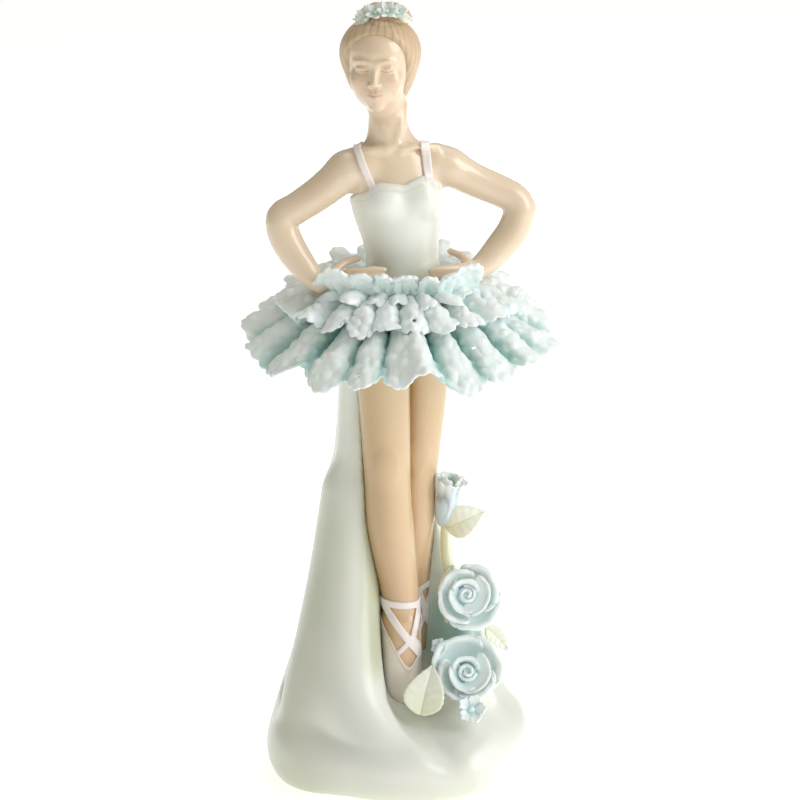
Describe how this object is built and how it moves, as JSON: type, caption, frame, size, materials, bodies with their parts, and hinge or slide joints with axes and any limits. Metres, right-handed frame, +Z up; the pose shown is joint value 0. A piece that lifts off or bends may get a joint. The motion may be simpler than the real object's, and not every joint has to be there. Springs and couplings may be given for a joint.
{
  "type": "porcelain figurine",
  "caption": "Freestanding glazed porcelain ballet dancer in a lace tutu on a hollow flared stand with applied flowers; a display ornament.",
  "frame": {"origin": "middle of the figurine's bounding box in X and Y, on the plane of the foot ring", "axes": "+Z up through the dancer's head, the dancer faces -Y, +X is on the viewer's right"},
  "size_m": [0.0802, 0.0802, 0.204],
  "materials": {
    "skin_glaze": "satin",
    "hair_glaze": "satin",
    "bodice_glaze": "gloss",
    "lace_glaze": "satin",
    "stand_glaze": "gloss",
    "shoe_glaze": "satin",
    "ribbon_glaze": "satin",
    "leaf_glaze": "gloss",
    "flower_glaze": "gloss"
  },
  "bodies": {
    "root": {"bodice": "bodice_glaze", "bud_leaf": "leaf_glaze", "front_blossom": "flower_glaze", "front_leaf": "leaf_glaze", "hair": "hair_glaze", "hair_bun": "hair_glaze", "head": "skin_glaze", "left_ankle_ribbon": "ribbon_glaze", "left_arm": "skin_glaze", "left_ballet_shoe": "shoe_glaze", "left_blossom": "flower_glaze", "left_leg": "skin_glaze", "left_strap": "ribbon_glaze", "lower_rose_heart": "flower_glaze", "lower_rose_inner_petal_1": "flower_glaze", "lower_rose_inner_petal_2": "flower_glaze", "lower_rose_inner_petal_3": "flower_glaze", "lower_rose_outer_petal_1": "flower_glaze", "lower_rose_outer_petal_2": "flower_glaze", "lower_rose_outer_petal_3": "flower_glaze", "lower_rose_outer_petal_4": "flower_glaze", "neck_and_shoulders": "skin_glaze", "right_ankle_ribbon": "ribbon_glaze", "right_arm": "skin_glaze", "right_ballet_shoe": "shoe_glaze", "right_leaf": "leaf_glaze", "right_leg": "skin_glaze", "right_strap": "ribbon_glaze", "rosebud": "flower_glaze", "rosebud_stem": "leaf_glaze", "side_leaf": "leaf_glaze", "stand": "stand_glaze", "tutu_lower_flounce": "lace_glaze", "tutu_middle_flounce": "lace_glaze", "tutu_upper_flounce": "lace_glaze", "upper_rose_heart": "flower_glaze", "upper_rose_inner_petal_1": "flower_glaze", "upper_rose_inner_petal_2": "flower_glaze", "upper_rose_inner_petal_3": "flower_glaze", "upper_rose_outer_petal_1": "flower_glaze", "upper_rose_outer_petal_2": "flower_glaze", "upper_rose_outer_petal_3": "flower_glaze", "upper_rose_outer_petal_4": "flower_glaze", "wreath_blossom_1": "flower_glaze", "wreath_blossom_2": "flower_glaze", "wreath_blossom_3": "flower_glaze", "wreath_blossom_4": "flower_glaze", "wreath_blossom_5": "flower_glaze", "wreath_blossom_6": "flower_glaze", "wreath_blossom_7": "flower_glaze", "wreath_leaf_1": "leaf_glaze", "wreath_leaf_2": "leaf_glaze"}
  },
  "joints": []
}
